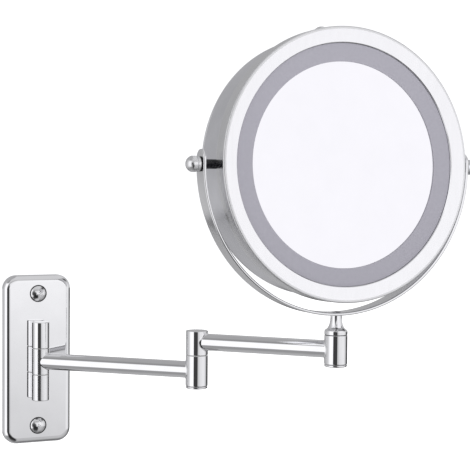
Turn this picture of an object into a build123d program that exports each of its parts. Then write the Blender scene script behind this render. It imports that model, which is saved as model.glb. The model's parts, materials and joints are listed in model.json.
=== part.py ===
from build123d import *
import math
import os
from math import sin, cos, radians

# Extendable wall mirror for shaving: a pressed wall plate with a three-knuckle
# hinge, two round arms with an elbow between them, and a round lit mirror head
# that swivels and tilts in a half-ring yoke.
#
# Frame (mm): origin at the middle of the wall plate's back face, wall plane
# Y = 0, the mirror stands out towards -Y, +X to the right, +Z up.

os.makedirs("parts", exist_ok=True)

# ------------------------------------------------------------------ dimensions
# wall plate
PLATE_W, PLATE_H, PLATE_D = 55.0, 136.0, 9.0
PLATE_T = 1.5                 # sheet thickness
PLATE_CORNER = 11.0
PLATE_ROUND = 5.0             # rounding of the front edge
SCREW_SPACING = 107.0         # wall screws, centre to centre
SCREW_R = 2.25
SCREW_HEAD_R = 6.5

# hinge lines and arms
SHOULDER_Y = -17.0            # hinge line in front of the wall
KNUCKLE_R = 7.0
FOOT_R = 4.0
KNUCKLE_TOP = 31.5            # the three knuckles together, half height
SEAM = 10.5                   # seam between the knuckles
ARM1_L, ARM2_L = 133.0, 111.0
ARM1_YAW, ARM2_YAW = 48.5, 46.0   # from the wall's normal (-Y) towards +X
ARM_RISE = 22.0               # arm 2 runs above arm 1
TUBE_R, TUBE_BORE = 6.5, 5.3
BARREL_R = 8.5                # elbow and end barrels
PIVOT_PIN_R = 4.0
PIVOT_BORE_R = 4.06           # running fit on the pin
COUNTERBORE_R = 6.3

# yoke and head
YOKE_R = 110.0                # outside of the half ring
YOKE_T, YOKE_W = 2.2, 14.0
YOKE_TAB = 3.6                # straight part above the pivot line
HEAD_Z = 157.5                # pivot line above arm 1
HEAD_YAW, HEAD_TILT = 1.5, 2.0
RING_R, RING_IN = 100.0, 88.3
RING_FRONT, RING_BACK = 15.5, 5.1
RING_ROUND = 2.1              # outer front corner of the bright ring
RING_RISE = 2.6               # the ring's face comes forward from its inner edge to the corner
DRUM_R, DRUM_T = 96.5, 1.5
DRUM_BACK = -26.6
HEAD_BACK = -29.8
KNOB_R = 5.7
BUTTON_R = 6.0
BUTTON_Z, BUTTON_ANGLE = -10.5, 4.4

# ------------------------------------------------------------------ directions
def heading(angle):
    """Horizontal unit vector, measured from -Y towards +X."""
    return Vector(sin(radians(angle)), -cos(radians(angle)), 0)

UP = Vector(0, 0, 1)
SHOULDER = Vector(0, SHOULDER_Y, 0)
ARM1_DIR = heading(ARM1_YAW)
ARM2_DIR = heading(ARM2_YAW)
ELBOW = SHOULDER + ARM1_DIR * ARM1_L
END = ELBOW + ARM2_DIR * ARM2_L
FACE0 = heading(HEAD_YAW)                     # the yoke's own facing, level
LAT = Vector(cos(radians(HEAD_YAW)), sin(radians(HEAD_YAW)), 0)
PIVOT = Vector(END.X, END.Y, HEAD_Z)
FACE = FACE0 * cos(radians(HEAD_TILT)) + UP * sin(radians(HEAD_TILT))
HUP = UP * cos(radians(HEAD_TILT)) - FACE0 * sin(radians(HEAD_TILT))


def at(point, z):
    """Level plane on a vertical axis through point, at height z."""
    return Plane(origin=(point.X, point.Y, z))


def head(z, dx=0.0, dy=0.0):
    """Plane across the head's axis, z in front of the pivot line."""
    o = PIVOT + FACE * z + LAT * dx + HUP * dy
    return Plane(origin=o, x_dir=LAT, z_dir=FACE)


# upright half plane through the head's axis: x outwards, y along the axis
HEAD_SECTION = Plane(origin=PIVOT, x_dir=LAT, z_dir=LAT.cross(FACE))
HEAD_AXIS = Axis(PIVOT, FACE)
YOKE_PLANE = Plane(origin=PIVOT, x_dir=LAT, z_dir=FACE0)


def section_at(point):
    """Upright plane through a vertical axis: x outwards, y up."""
    return Plane(origin=(point.X, point.Y, 0), x_dir=(1, 0, 0), z_dir=(0, -1, 0))


def vertical(point):
    return Axis((point.X, point.Y, 0), (0, 0, 1))


def dome(r, y0, y1):
    """Middle point of a spherical cap from (r, y0) to its crown (0, y1)."""
    h = y1 - y0
    big = (r * r + h * h) / (2 * h)
    centre = y1 - big
    a = math.atan2(r / abs(big), (y0 - centre) / big) / 2
    return (abs(big) * sin(a), centre + big * cos(a))


# ================================================================== wall bracket
# Pressed plate: a shallow dished cover, open at the back.
FRONT = Plane(origin=(0, 0, 0), x_dir=(1, 0, 0), z_dir=(0, -1, 0))
with BuildPart() as wall_plate:
    with BuildSketch(FRONT):
        RectangleRounded(PLATE_W, PLATE_H, PLATE_CORNER)
    extrude(amount=PLATE_D)
    fillet(wall_plate.faces().sort_by(Axis.Y)[0].edges(), PLATE_ROUND)
    back = wall_plate.faces().sort_by(Axis.Y)[-1]
    offset(amount=-PLATE_T, openings=back)
    # shallow seats for the two wall screws
    with BuildSketch(FRONT.offset(PLATE_D - 0.6)):
        with Locations((0, SCREW_SPACING / 2), (0, -SCREW_SPACING / 2)):
            Circle(SCREW_HEAD_R + 0.35)
    extrude(amount=2, mode=Mode.SUBTRACT)
    with BuildSketch(FRONT.offset(1)):
        with Locations((0, SCREW_SPACING / 2), (0, -SCREW_SPACING / 2)):
            Circle(SCREW_R + 0.25)
        with Locations((0, 21), (0, -21)):
            Circle(2.1)
    extrude(amount=PLATE_D + 2, mode=Mode.SUBTRACT)
wall_plate.part.label = "wall_plate"
export_step(wall_plate.part, "parts/wall_plate.step")

# Steel plate inside the cover, flush with the wall; it takes the screws' pull.
with BuildPart() as backing_plate:
    with BuildSketch(FRONT):
        RectangleRounded(PLATE_W - 2 * PLATE_T - 0.4, PLATE_H - 2 * PLATE_T - 0.4,
                         PLATE_CORNER - PLATE_T)
        with Locations((0, SCREW_SPACING / 2), (0, -SCREW_SPACING / 2)):
            Circle(SCREW_R + 0.25, mode=Mode.SUBTRACT)
    extrude(amount=1.6)
backing_plate.part.label = "backing_plate"
export_step(backing_plate.part, "parts/backing_plate.step")

# Two domed wall screws with a cross recess.
with BuildPart() as wall_screws:
    for z in (SCREW_SPACING / 2, -SCREW_SPACING / 2):
        with BuildSketch(Plane(origin=(0, 0, z), x_dir=(1, 0, 0), z_dir=(0, 0, 1))):
            with BuildLine():
                y0 = -(PLATE_D - 0.58)
                Line((0, y0 - 2.9), (0, 26))
                Line((0, 26), (SCREW_R, 22))
                Line((SCREW_R, 22), (SCREW_R, 0.6))
                Line((SCREW_R, 0.6), (SCREW_R - 0.15, 0.6))
                Line((SCREW_R - 0.15, 0.6), (SCREW_R - 0.15, y0))
                Line((SCREW_R - 0.15, y0), (SCREW_HEAD_R, y0))
                Line((SCREW_HEAD_R, y0), (SCREW_HEAD_R, y0 - 0.7))
                ThreePointArc((SCREW_HEAD_R, y0 - 0.7),
                              dome(SCREW_HEAD_R, y0 - 0.7, y0 - 2.9), (0, y0 - 2.9))
            make_face()
        revolve(axis=Axis((0, 0, z), (0, 1, 0)))
        with BuildSketch(FRONT.offset(PLATE_D + 0.9)):
            with Locations((0, z)):
                Rectangle(4.6, 1.15)
                Rectangle(1.15, 4.6)
        extrude(amount=4, mode=Mode.SUBTRACT)
wall_screws.part.label = "wall_screws"
export_step(wall_screws.part, "parts/wall_screws.step")

# Upper knuckle with its foot on the plate: blind, threaded for the hinge pin.
with BuildPart() as upper_knuckle:
    with BuildSketch(at(SHOULDER, SEAM + 0.2)):
        Circle(KNUCKLE_R)
    extrude(amount=KNUCKLE_TOP - SEAM - 0.2)
    chamfer(upper_knuckle.edges().filter_by(GeomType.CIRCLE).sort_by(Axis.Z)[-1], 0.5)
    with BuildSketch(Plane(origin=(0, -PLATE_D, 21), x_dir=(1, 0, 0), z_dir=(0, -1, 0))):
        Circle(FOOT_R)
    extrude(amount=-SHOULDER_Y - PLATE_D)
    with BuildSketch(at(SHOULDER, 0)):
        Circle(3.02)
    extrude(amount=28.2, mode=Mode.SUBTRACT)
    with BuildSketch(Plane(origin=(0, -PLATE_D + 1, 21), x_dir=(1, 0, 0), z_dir=(0, -1, 0))):
        Circle(1.75)
    extrude(amount=4.4, mode=Mode.SUBTRACT)
upper_knuckle.part.label = "upper_knuckle"
export_step(upper_knuckle.part, "parts/upper_knuckle.step")

# Lower knuckle: the pin goes in from below, its head sunk flush.
with BuildPart() as lower_knuckle:
    with BuildSketch(at(SHOULDER, -KNUCKLE_TOP)):
        Circle(KNUCKLE_R)
    extrude(amount=KNUCKLE_TOP - SEAM - 0.2)
    chamfer(lower_knuckle.edges().filter_by(GeomType.CIRCLE).sort_by(Axis.Z)[0], 0.5)
    with BuildSketch(Plane(origin=(0, -PLATE_D, -21), x_dir=(1, 0, 0), z_dir=(0, -1, 0))):
        Circle(FOOT_R)
    extrude(amount=-SHOULDER_Y - PLATE_D)
    with BuildSketch(at(SHOULDER, -KNUCKLE_TOP - 1)):
        Circle(3.02)
    extrude(amount=24, mode=Mode.SUBTRACT)
    with BuildSketch(at(SHOULDER, -KNUCKLE_TOP - 1)):
        Circle(5.1)
    extrude(amount=3.6, mode=Mode.SUBTRACT)
    with BuildSketch(Plane(origin=(0, -PLATE_D + 1, -21), x_dir=(1, 0, 0), z_dir=(0, -1, 0))):
        Circle(1.75)
    extrude(amount=4.4, mode=Mode.SUBTRACT)
lower_knuckle.part.label = "lower_knuckle"
export_step(lower_knuckle.part, "parts/lower_knuckle.step")

# Machine screws that hold the knuckles' feet from inside the plate.
with BuildPart() as bracket_screws:
    for z in (21.0, -21.0):
        with BuildSketch(Plane(origin=(0, -PLATE_D + PLATE_T + 2.2, z),
                               x_dir=(1, 0, 0), z_dir=(0, -1, 0))):
            Circle(3.6)
        extrude(amount=2.18)
        with BuildSketch(Plane(origin=(0, -PLATE_D + PLATE_T + 1, z),
                               x_dir=(1, 0, 0), z_dir=(0, -1, 0))):
            Circle(1.7)
        extrude(amount=5.5)
bracket_screws.part.label = "bracket_screws"
export_step(bracket_screws.part, "parts/bracket_screws.step")

# Hinge pin through all three knuckles.
with BuildPart() as shoulder_pin:
    with BuildSketch(at(SHOULDER, -KNUCKLE_TOP + 0.3)):
        Circle(5.0)
    extrude(amount=2.2)
    with BuildSketch(at(SHOULDER, -KNUCKLE_TOP + 0.3)):
        Circle(3.0)
    extrude(amount=KNUCKLE_TOP - 0.3 + 28.0)
    with BuildSketch(at(SHOULDER, -KNUCKLE_TOP + 0.3)):
        Rectangle(7.0, 1.2)
    extrude(amount=1.0, mode=Mode.SUBTRACT)
shoulder_pin.part.label = "shoulder_pin"
export_step(shoulder_pin.part, "parts/shoulder_pin.step")

# Nylon washers in the two seams of the hinge.
with BuildPart() as shoulder_washers:
    for z in (SEAM - 0.15, -SEAM - 0.15):
        with BuildSketch(at(SHOULDER, z)):
            Circle(KNUCKLE_R - 0.5)
            Circle(3.1, mode=Mode.SUBTRACT)
        extrude(amount=0.3)
shoulder_washers.part.label = "shoulder_washers"
export_step(shoulder_washers.part, "parts/shoulder_washers.step")

# ================================================================== arm 1
with BuildPart() as arm_1_knuckle:
    with BuildSketch(at(SHOULDER, -SEAM + 0.2)):
        Circle(KNUCKLE_R)
    extrude(amount=2 * SEAM - 0.4)
    with BuildSketch(Plane(origin=SHOULDER, x_dir=UP, z_dir=ARM1_DIR)):
        Circle(TUBE_BORE - 0.05)
    extrude(amount=KNUCKLE_R + 12)
    with BuildSketch(at(SHOULDER, -SEAM - 1)):
        Circle(3.06)
    extrude(amount=2 * SEAM + 2, mode=Mode.SUBTRACT)
arm_1_knuckle.part.label = "arm_1_knuckle"
export_step(arm_1_knuckle.part, "parts/arm_1_knuckle.step")

with BuildPart() as arm_1_tube:
    with BuildSketch(Plane(origin=SHOULDER, x_dir=UP, z_dir=ARM1_DIR)):
        Circle(TUBE_R)
        Circle(TUBE_BORE, mode=Mode.SUBTRACT)
    extrude(amount=ARM1_L)
    with BuildSketch(at(SHOULDER, -10)):
        Circle(KNUCKLE_R)
    extrude(amount=20, mode=Mode.SUBTRACT)
    with BuildSketch(at(ELBOW, -10)):
        Circle(BARREL_R)
    extrude(amount=20, mode=Mode.SUBTRACT)
arm_1_tube.part.label = "arm_1_tube"
export_step(arm_1_tube.part, "parts/arm_1_tube.step")

LOW_BOTTOM, LOW_TOP = -12.1, 11.6
with BuildPart() as elbow_lower_barrel:
    with BuildSketch(at(ELBOW, LOW_BOTTOM)):
        Circle(BARREL_R)
    extrude(amount=LOW_TOP - LOW_BOTTOM)
    chamfer(elbow_lower_barrel.edges().filter_by(GeomType.CIRCLE), 0.25)
    with BuildSketch(Plane(origin=ELBOW, x_dir=UP, z_dir=ARM1_DIR * -1)):
        Circle(TUBE_BORE - 0.05)
    extrude(amount=BARREL_R + 12)
    with BuildSketch(at(ELBOW, LOW_BOTTOM - 1)):
        Circle(PIVOT_BORE_R)
    extrude(amount=40, mode=Mode.SUBTRACT)
    with BuildSketch(at(ELBOW, LOW_BOTTOM - 1)):
        Circle(COUNTERBORE_R)
    extrude(amount=8.2, mode=Mode.SUBTRACT)
elbow_lower_barrel.part.label = "elbow_lower_barrel"
export_step(elbow_lower_barrel.part, "parts/elbow_lower_barrel.step")

with BuildPart() as elbow_washer:
    with BuildSketch(at(ELBOW, LOW_TOP + 0.05)):
        Circle(BARREL_R - 0.45)
        Circle(PIVOT_BORE_R + 0.05, mode=Mode.SUBTRACT)
    extrude(amount=0.3)
elbow_washer.part.label = "elbow_washer"
export_step(elbow_washer.part, "parts/elbow_washer.step")

with BuildPart() as elbow_cap:
    with BuildSketch(at(ELBOW, -14.0)):
        Circle(BARREL_R - 0.15)
    extrude(amount=1.7)
    fillet(elbow_cap.edges().filter_by(GeomType.CIRCLE).sort_by(Axis.Z)[0], 1.0)
    with BuildSketch(at(ELBOW, -12.31)):
        Circle(COUNTERBORE_R - 0.05)
        Circle(4.9, mode=Mode.SUBTRACT)
    extrude(amount=2.0)
elbow_cap.part.label = "elbow_cap"
export_step(elbow_cap.part, "parts/elbow_cap.step")

# ================================================================== arm 2
UPP_BOTTOM, UPP_TOP = 12.0, 30.5
with BuildPart() as elbow_upper_barrel:
    with BuildSketch(at(ELBOW, UPP_BOTTOM)):
        Circle(BARREL_R)
    extrude(amount=UPP_TOP - UPP_BOTTOM)
    chamfer(elbow_upper_barrel.edges().filter_by(GeomType.CIRCLE), 0.25)
    with BuildSketch(Plane(origin=ELBOW + UP * ARM_RISE, x_dir=UP, z_dir=ARM2_DIR)):
        Circle(TUBE_BORE - 0.05)
    extrude(amount=BARREL_R + 12)
    with BuildSketch(at(ELBOW, 0)):
        Circle(PIVOT_PIN_R + 0.02)
    extrude(amount=27.6, mode=Mode.SUBTRACT)
elbow_upper_barrel.part.label = "elbow_upper_barrel"
export_step(elbow_upper_barrel.part, "parts/elbow_upper_barrel.step")

with BuildPart() as elbow_pin:
    with BuildSketch(at(ELBOW, -5.0)):
        Circle(PIVOT_PIN_R)
    extrude(amount=32.4)
    with BuildSketch(at(ELBOW, -9.6)):
        Circle(2.95)
    extrude(amount=5)
elbow_pin.part.label = "elbow_pin"
export_step(elbow_pin.part, "parts/elbow_pin.step")

with BuildPart() as elbow_spring_washer:
    with BuildSketch(at(ELBOW, -5.75)):
        Circle(5.9)
        Circle(3.1, mode=Mode.SUBTRACT)
    extrude(amount=0.7)
elbow_spring_washer.part.label = "elbow_spring_washer"
export_step(elbow_spring_washer.part, "parts/elbow_spring_washer.step")

with BuildPart() as elbow_nut:
    with BuildSketch(at(ELBOW, -8.9)):
        RegularPolygon(5.6, 6)
        Circle(3.0, mode=Mode.SUBTRACT)
    extrude(amount=3.1)
elbow_nut.part.label = "elbow_nut"
export_step(elbow_nut.part, "parts/elbow_nut.step")

with BuildPart() as arm_2_tube:
    with BuildSketch(Plane(origin=ELBOW + UP * ARM_RISE, x_dir=UP, z_dir=ARM2_DIR)):
        Circle(TUBE_R)
        Circle(TUBE_BORE, mode=Mode.SUBTRACT)
    extrude(amount=ARM2_L)
    with BuildSketch(at(ELBOW, 10)):
        Circle(BARREL_R)
    extrude(amount=24, mode=Mode.SUBTRACT)
    with BuildSketch(at(END, 10)):
        Circle(BARREL_R)
    extrude(amount=24, mode=Mode.SUBTRACT)
arm_2_tube.part.label = "arm_2_tube"
export_step(arm_2_tube.part, "parts/arm_2_tube.step")

END_BOTTOM, END_TOP = 11.2, 32.8
with BuildPart() as end_barrel:
    with BuildSketch(at(END, END_BOTTOM)):
        Circle(BARREL_R)
    extrude(amount=END_TOP - END_BOTTOM)
    chamfer(end_barrel.edges().filter_by(GeomType.CIRCLE), 0.25)
    with BuildSketch(Plane(origin=END + UP * ARM_RISE, x_dir=UP, z_dir=ARM2_DIR * -1)):
        Circle(TUBE_BORE - 0.05)
    extrude(amount=BARREL_R + 12)
    with BuildSketch(at(END, END_BOTTOM - 1)):
        Circle(PIVOT_BORE_R)
    extrude(amount=40, mode=Mode.SUBTRACT)
    with BuildSketch(at(END, END_BOTTOM - 1)):
        Circle(COUNTERBORE_R)
    extrude(amount=7.3, mode=Mode.SUBTRACT)
end_barrel.part.label = "end_barrel"
export_step(end_barrel.part, "parts/end_barrel.step")

with BuildPart() as swivel_washer:
    with BuildSketch(at(END, END_TOP + 0.05)):
        Circle(BARREL_R - 0.2)
        Circle(PIVOT_BORE_R + 0.05, mode=Mode.SUBTRACT)
    extrude(amount=0.3)
swivel_washer.part.label = "swivel_washer"
export_step(swivel_washer.part, "parts/swivel_washer.step")

with BuildPart() as end_cap:
    with BuildSketch(at(END, 9.3)):
        Circle(BARREL_R - 0.15)
    extrude(amount=1.7)
    fillet(end_cap.edges().filter_by(GeomType.CIRCLE).sort_by(Axis.Z)[0], 1.0)
    with BuildSketch(at(END, 10.99)):
        Circle(COUNTERBORE_R - 0.05)
        Circle(4.9, mode=Mode.SUBTRACT)
    extrude(amount=1.8)
end_cap.part.label = "end_cap"
export_step(end_cap.part, "parts/end_cap.step")

# ================================================================== yoke
YOKE_BOTTOM = HEAD_Z - YOKE_R
# Flared stem: pin below, collar at the seam, trumpet neck up to the half ring.
with BuildPart() as swivel_stem:
    with BuildSketch(section_at(END)):
        with BuildLine():
            Line((0, 13.2), (2.95, 13.2))
            Line((2.95, 13.2), (2.95, 17.6))
            Line((2.95, 17.6), (PIVOT_PIN_R, 17.6))
            Line((PIVOT_PIN_R, 17.6), (PIVOT_PIN_R, END_TOP + 0.45))
            Line((PIVOT_PIN_R, END_TOP + 0.45), (BARREL_R - 0.2, END_TOP + 0.45))
            Line((BARREL_R - 0.2, END_TOP + 0.45), (BARREL_R, END_TOP + 0.65))
            Line((BARREL_R, END_TOP + 0.65), (BARREL_R, 35.6))
            ThreePointArc((BARREL_R, 35.6), (BARREL_R - 0.42, 36.35), (BARREL_R - 1.3, 36.9))
            Spline((BARREL_R - 1.3, 36.9), (5.35, 39.3), (4.35, 43.4), (4.15, YOKE_BOTTOM),
                   tangents=((-1.25, 0.75), (0, 1)))
            Line((4.15, YOKE_BOTTOM), (0, YOKE_BOTTOM))
            Line((0, YOKE_BOTTOM), (0, 13.2))
        make_face()
    revolve(axis=vertical(END))
    with BuildSketch(at(END, YOKE_BOTTOM - 9)):
        Circle(2.03)
    extrude(amount=12, mode=Mode.SUBTRACT)
swivel_stem.part.label = "swivel_stem"
export_step(swivel_stem.part, "parts/swivel_stem.step")

# Half ring of flat strip with rounded ends that carry the pivots.
with BuildPart() as yoke_band:
    with BuildSketch(YOKE_PLANE.offset(-YOKE_W / 2)):
        with BuildLine():
            Line((-YOKE_R, YOKE_TAB), (-YOKE_R, 0))
            ThreePointArc((-YOKE_R, 0), (0, -YOKE_R), (YOKE_R, 0))
            Line((YOKE_R, 0), (YOKE_R, YOKE_TAB))
            Line((YOKE_R, YOKE_TAB), (YOKE_R - YOKE_T, YOKE_TAB))
            Line((YOKE_R - YOKE_T, YOKE_TAB), (YOKE_R - YOKE_T, 0))
            ThreePointArc((YOKE_R - YOKE_T, 0), (0, -YOKE_R + YOKE_T), (-YOKE_R + YOKE_T, 0))
            Line((-YOKE_R + YOKE_T, 0), (-YOKE_R + YOKE_T, YOKE_TAB))
            Line((-YOKE_R + YOKE_T, YOKE_TAB), (-YOKE_R, YOKE_TAB))
        make_face()
    extrude(amount=YOKE_W)
    for side in (-1, 1):
        with BuildSketch(Plane(origin=PIVOT + LAT * side * (YOKE_R - YOKE_T) + UP * YOKE_TAB,
                               x_dir=FACE0, z_dir=LAT * side)):
            Circle(YOKE_W / 2)
        extrude(amount=YOKE_T)
    chamfer(yoke_band.edges().filter_by(GeomType.CIRCLE).filter_by(
        lambda e: e.radius > 100), 0.7)
    # pivot holes: a running fit for the knob screws
    for side in (-1, 1):
        with BuildSketch(Plane(origin=PIVOT + LAT * side * (YOKE_R - 6), x_dir=FACE0,
                               z_dir=LAT * side)):
            Circle(2.08)
        extrude(amount=12, mode=Mode.SUBTRACT)
    # countersunk hole at the bottom for the stem screw
    with BuildSketch(section_at(END)):
        with BuildLine():
            Polyline((0, YOKE_BOTTOM - 2), (2.1, YOKE_BOTTOM - 2), (2.1, YOKE_BOTTOM + 0.5),
                     (3.85, YOKE_BOTTOM + YOKE_T), (3.85, YOKE_BOTTOM + YOKE_T + 3),
                     (0, YOKE_BOTTOM + YOKE_T + 3), (0, YOKE_BOTTOM - 2))
        make_face()
    revolve(axis=vertical(END), mode=Mode.SUBTRACT)
yoke_band.part.label = "yoke_band"
export_step(yoke_band.part, "parts/yoke_band.step")

with BuildPart() as stem_screw:
    with BuildSketch(section_at(END)):
        with BuildLine():
            Polyline((0, YOKE_BOTTOM - 8), (2.0, YOKE_BOTTOM - 8), (2.0, YOKE_BOTTOM + 0.53),
                     (3.68, YOKE_BOTTOM + YOKE_T - 0.04), (3.0, YOKE_BOTTOM + YOKE_T + 0.35),
                     (0, YOKE_BOTTOM + YOKE_T + 0.6), (0, YOKE_BOTTOM - 8))
        make_face()
    revolve(axis=vertical(END))
    with BuildSketch(at(END, YOKE_BOTTOM + 1.0)):
        Rectangle(3.6, 0.9)
        Rectangle(0.9, 3.6)
    extrude(amount=4, mode=Mode.SUBTRACT)
stem_screw.part.label = "stem_screw"
export_step(stem_screw.part, "parts/stem_screw.step")

with BuildPart() as swivel_spring_washer:
    with BuildSketch(at(END, 16.75)):
        Circle(5.9)
        Circle(3.1, mode=Mode.SUBTRACT)
    extrude(amount=0.7)
swivel_spring_washer.part.label = "swivel_spring_washer"
export_step(swivel_spring_washer.part, "parts/swivel_spring_washer.step")

with BuildPart() as swivel_nut:
    with BuildSketch(at(END, 13.6)):
        RegularPolygon(5.6, 6)
        Circle(3.0, mode=Mode.SUBTRACT)
    extrude(amount=3.1)
swivel_nut.part.label = "swivel_nut"
export_step(swivel_nut.part, "parts/swivel_nut.step")

# ================================================================== head
# Side wall of the head with a ledge inside that carries the chassis.
with BuildPart() as drum:
    with BuildSketch(HEAD_SECTION):
        with BuildLine():
            Polyline((DRUM_R - DRUM_T, DRUM_BACK), (DRUM_R, DRUM_BACK), (DRUM_R, 11.6),
                     (DRUM_R - DRUM_T, 11.6), (DRUM_R - DRUM_T, -5.3), (91.2, -5.3),
                     (91.2, -6.8), (DRUM_R - DRUM_T, -6.8), (DRUM_R - DRUM_T, DRUM_BACK))
        make_face()
    revolve(axis=HEAD_AXIS)
    # pivot screws
    with BuildSketch(Plane(origin=PIVOT - LAT * 110, x_dir=HUP, z_dir=LAT)):
        Circle(2.4)
    extrude(amount=220, mode=Mode.SUBTRACT)
    # switch plunger
    BUP = HUP * cos(radians(BUTTON_ANGLE)) - LAT * sin(radians(BUTTON_ANGLE))
    BLAT = LAT * cos(radians(BUTTON_ANGLE)) + HUP * sin(radians(BUTTON_ANGLE))
    BUTTON = Plane(origin=PIVOT + FACE * BUTTON_Z, x_dir=BLAT, z_dir=BUP)
    with BuildSketch(BUTTON.offset(90)):
        Circle(3.3)
    extrude(amount=12, mode=Mode.SUBTRACT)
drum.part.label = "drum"
export_step(drum.part, "parts/drum.step")

# Bright front ring: flat face, bevel down to the light ring.
RING_EDGE = RING_FRONT + RING_RISE
with BuildPart() as front_ring:
    with BuildSketch(HEAD_SECTION):
        with BuildLine():
            Line((DRUM_R + 0.15, RING_BACK), (RING_R - 0.5, RING_BACK))
            Line((RING_R - 0.5, RING_BACK), (RING_R, RING_BACK + 0.5))
            Line((RING_R, RING_BACK + 0.5), (RING_R, RING_EDGE - RING_ROUND))
            ThreePointArc((RING_R, RING_EDGE - RING_ROUND),
                          (RING_R - 0.293 * RING_ROUND, RING_EDGE - 0.293 * RING_ROUND),
                          (RING_R - RING_ROUND, RING_EDGE))
            Line((RING_R - RING_ROUND, RING_EDGE), (RING_IN + 0.5, RING_FRONT))
            Line((RING_IN + 0.5, RING_FRONT), (RING_IN, RING_FRONT - 0.5))
            Line((RING_IN, RING_FRONT - 0.5), (RING_IN, RING_FRONT - 3.3))
            Line((RING_IN, RING_FRONT - 3.3), (DRUM_R + 0.15, RING_FRONT - 3.3))
            Line((DRUM_R + 0.15, RING_FRONT - 3.3), (DRUM_R + 0.15, RING_BACK))
        make_face()
    revolve(axis=HEAD_AXIS)
front_ring.part.label = "front_ring"
export_step(front_ring.part, "parts/front_ring.step")

# Frosted light ring, sloping inwards to the glass.
with BuildPart() as diffuser_ring:
    with BuildSketch(HEAD_SECTION):
        with BuildLine():
            Polyline((94.5, 10.1), (94.5, 12.1), (RING_IN - 0.1, 12.1), (RING_IN - 0.1, 14.3),
                     (75.0, 12.4), (75.0, 11.65), (78.0, 11.65), (86.3, 12.55), (86.3, 10.1),
                     (94.5, 10.1))
        make_face()
    revolve(axis=HEAD_AXIS)
diffuser_ring.part.label = "diffuser_ring"
export_step(diffuser_ring.part, "parts/diffuser_ring.step")

with BuildPart() as front_mirror:
    with BuildSketch(head(8.5)):
        Circle(77.8)
    extrude(amount=3.1)
front_mirror.part.label = "front_mirror"
export_step(front_mirror.part, "parts/front_mirror.step")

with BuildPart() as mirror_carrier:
    with BuildSketch(head(6.4)):
        Circle(77.8)
    extrude(amount=2.05)
mirror_carrier.part.label = "mirror_carrier"
export_step(mirror_carrier.part, "parts/mirror_carrier.step")

# White trough behind the light ring.
with BuildPart() as light_tray:
    with BuildSketch(HEAD_SECTION):
        with BuildLine():
            Polyline((73.0, 1.0), (90.0, 1.0), (90.0, 10.0), (89.0, 10.0), (89.0, 2.0),
                     (74.0, 2.0), (74.0, 6.35), (73.0, 6.35), (73.0, 1.0))
        make_face()
    revolve(axis=HEAD_AXIS)
light_tray.part.label = "light_tray"
export_step(light_tray.part, "parts/light_tray.step")

with BuildPart() as led_board:
    with BuildSketch(head(2.05)):
        Circle(88.0)
        Circle(76.0, mode=Mode.SUBTRACT)
    extrude(amount=1.0)
led_board.part.label = "led_board"
export_step(led_board.part, "parts/led_board.step")

with BuildPart() as leds:
    with BuildSketch(head(3.07)):
        with PolarLocations(82.0, 24):
            Rectangle(2.8, 3.5)
    extrude(amount=1.4)
leds.part.label = "leds"
export_step(leds.part, "parts/leds.step")

# Inner chassis: a deck under the light tray, a flange on the drum's ledge and
# three hooks that hold the rear cover.
HOOK_ANGLES = (30.0, 150.0, 270.0)
with BuildPart() as chassis:
    with BuildSketch(HEAD_SECTION):
        with BuildLine():
            Polyline((0, 0.95), (89.0, 0.95), (89.0, -1.05), (72.0, -1.05), (72.0, -6.85),
                     (94.7, -6.85), (94.7, -8.85), (70.0, -8.85), (70.0, -1.05), (0, -1.05),
                     (0, 0.95))
        make_face()
    revolve(axis=HEAD_AXIS)
    with BuildSketch(head(-24.7)):
        for a in HOOK_ANGLES:
            with BuildLine():
                l1 = CenterArc((0, 0), 86.3, a - 9, 18)
                l2 = CenterArc((0, 0), 88.3, a - 9, 18)
                Line(l1 @ 0, l2 @ 0)
                Line(l1 @ 1, l2 @ 1)
            make_face()
    extrude(amount=16.3)
    with BuildSketch(head(-24.7)):
        for a in HOOK_ANGLES:
            with BuildLine():
                l1 = CenterArc((0, 0), 88.2, a - 9, 18)
                l2 = CenterArc((0, 0), 92.2, a - 9, 18)
                Line(l1 @ 0, l2 @ 0)
                Line(l1 @ 1, l2 @ 1)
            make_face()
    extrude(amount=1.8)
    # notch that holds the switch board
    with BuildSketch(BUTTON.offset(80)):
        Rectangle(18.1, 22.94)
    extrude(amount=20, mode=Mode.SUBTRACT)
chassis.part.label = "chassis"
export_step(chassis.part, "parts/chassis.step")

with BuildPart() as chassis_screws:
    for a in (20.0, 160.0, 200.0, 340.0):
        c = (93.1 * cos(radians(a)), 93.1 * sin(radians(a)))
        with BuildSketch(head(-10.4)):
            with Locations(c):
                Circle(1.5)
        extrude(amount=1.5)
chassis_screws.part.label = "chassis_screws"
export_step(chassis_screws.part, "parts/chassis_screws.step")

# Battery tray for four cells.
CELL_R, CELL_L = 7.1, 50.2
CELL_Z = -2.4 - CELL_R
with BuildPart() as battery_holder:
    with BuildSketch(head(-1.1)):
        RectangleRounded(63.0, 62.0, 2)
    extrude(amount=-12.0)
    with BuildSketch(head(-2.3)):
        RectangleRounded(60.0, 59.0, 1)
    extrude(amount=-14.0, mode=Mode.SUBTRACT)
battery_holder.part.label = "battery_holder"
export_step(battery_holder.part, "parts/battery_holder.step")

with BuildPart() as batteries:
    for i in range(4):
        dx = (i - 1.5) * 14.8
        flip = 1 if i % 2 == 0 else -1
        base = PIVOT + FACE * (CELL_Z) + LAT * dx - HUP * flip * CELL_L / 2
        with BuildSketch(Plane(origin=base, x_dir=LAT, z_dir=HUP * flip)):
            Circle(CELL_R)
        extrude(amount=CELL_L - 1.6)
        with BuildSketch(Plane(origin=base, x_dir=LAT, z_dir=HUP * flip)):
            Circle(2.7)
        extrude(amount=CELL_L)
batteries.part.label = "batteries"
export_step(batteries.part, "parts/batteries.step")

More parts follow.
